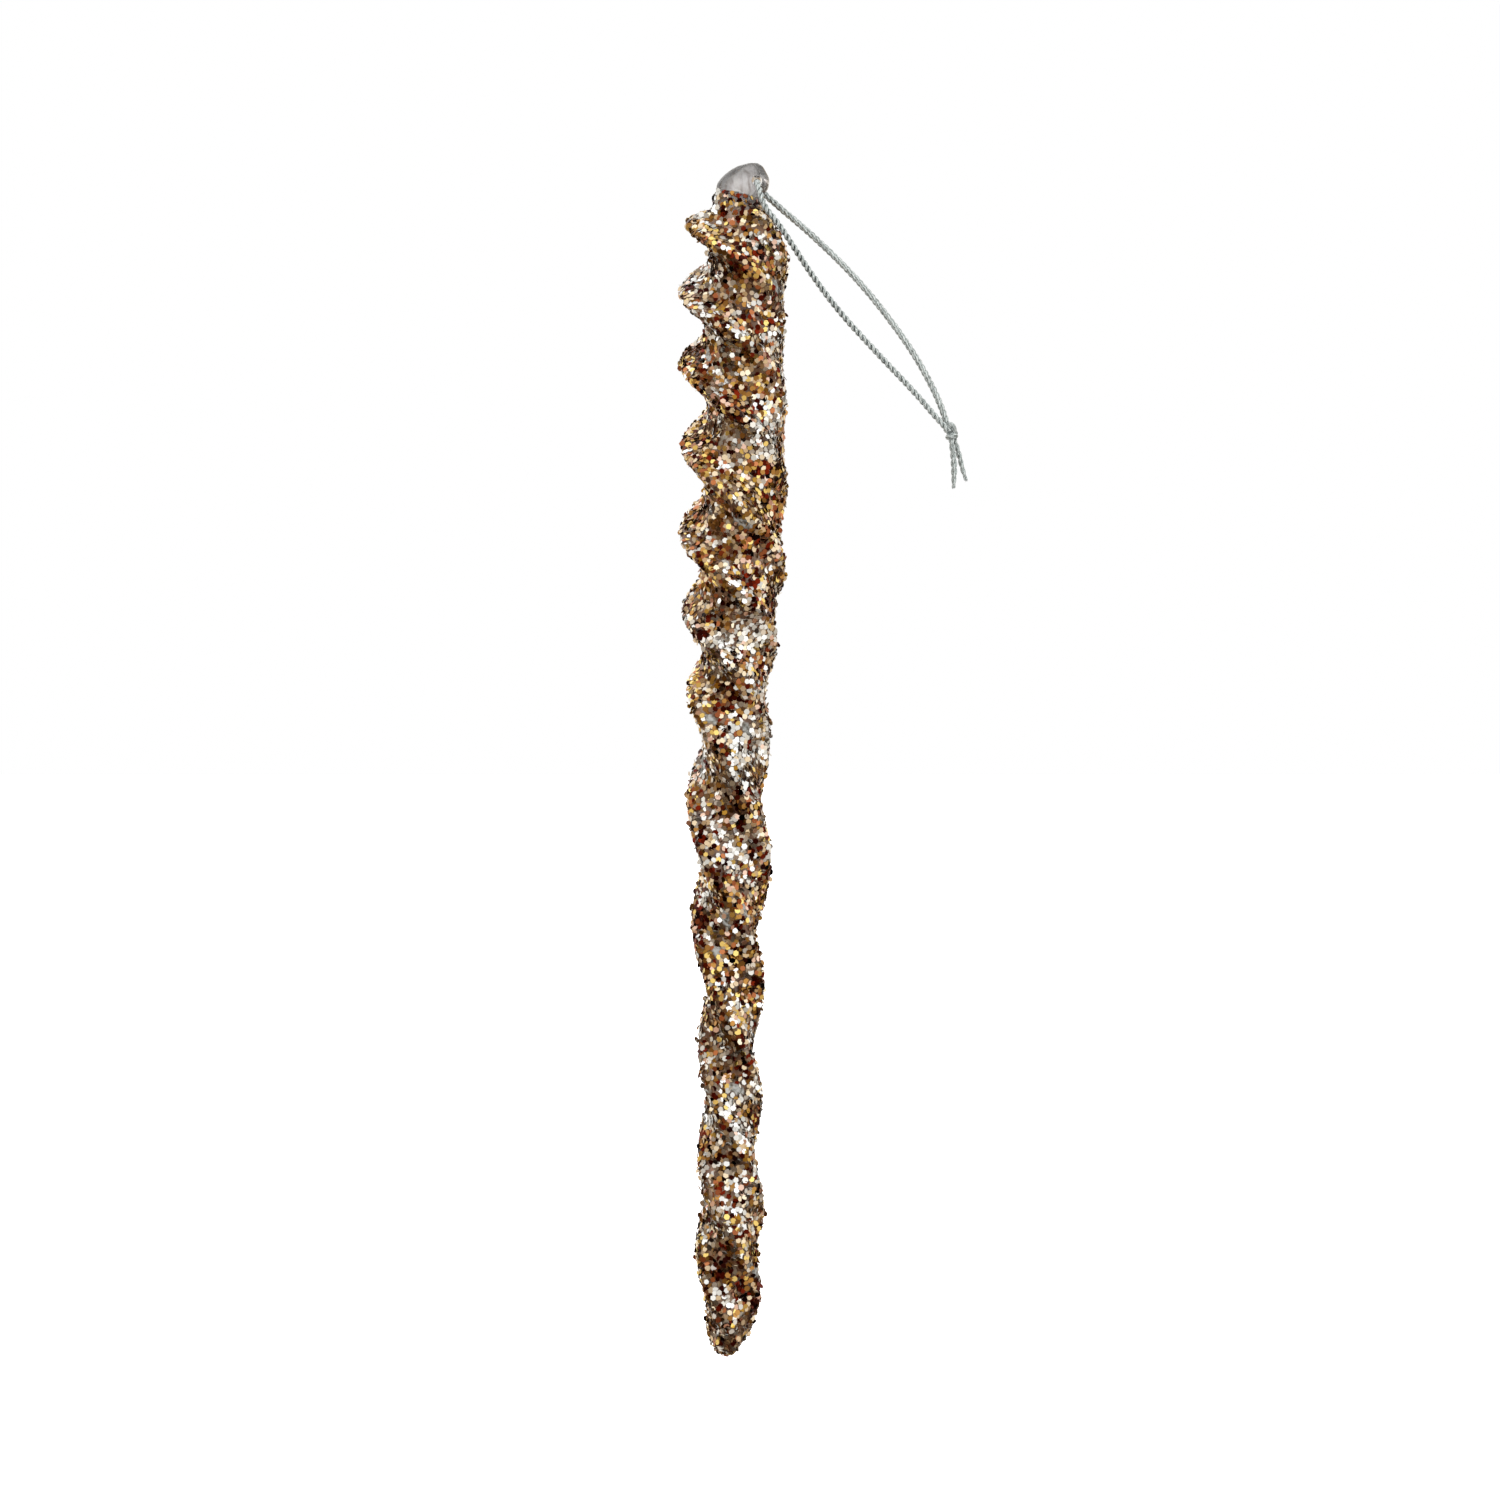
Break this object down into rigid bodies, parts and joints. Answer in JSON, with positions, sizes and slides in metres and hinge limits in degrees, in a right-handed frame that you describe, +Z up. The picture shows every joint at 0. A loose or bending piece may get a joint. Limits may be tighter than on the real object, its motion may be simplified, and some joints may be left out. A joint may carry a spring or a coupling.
{
  "type": "icicle hanging ornament",
  "caption": "Twisted clear icicle with a domed head, coated in hexagonal glitter, hung on a knotted metallic cord loop.",
  "frame": {"origin": "middle of the hanging eye, the hole through the clear head that the cord passes through", "axes": "+Z up from the icicle's point to its head, Y along the eye, and the slack cord loop leans towards +X"},
  "size_m": [0.0513, 0.0196, 0.2097],
  "materials": {
    "clear_glass": "smooth clear glass with a faint grey cast",
    "glitter": "clear adhesive packed with champagne, silver, gold and copper hexagonal flakes",
    "metallic_cord": "twisted silver metallic thread"
  },
  "bodies": {
    "icicle": {"glass_icicle": "clear_glass", "glitter_coat": "glitter"},
    "hanging_cord": {"cord_front_strand": "metallic_cord", "cord_back_strand": "metallic_cord", "cord_knot": "metallic_cord", "cord_left_tail": "metallic_cord", "cord_right_tail": "metallic_cord"}
  },
  "joints": [
    {"name": "cord_swing", "type": "hinge", "parent": "icicle", "child": "hanging_cord", "pos_m": [0, 0, 0], "axis": [0, -1, 0], "range_deg": [0, 142]}
  ]
}
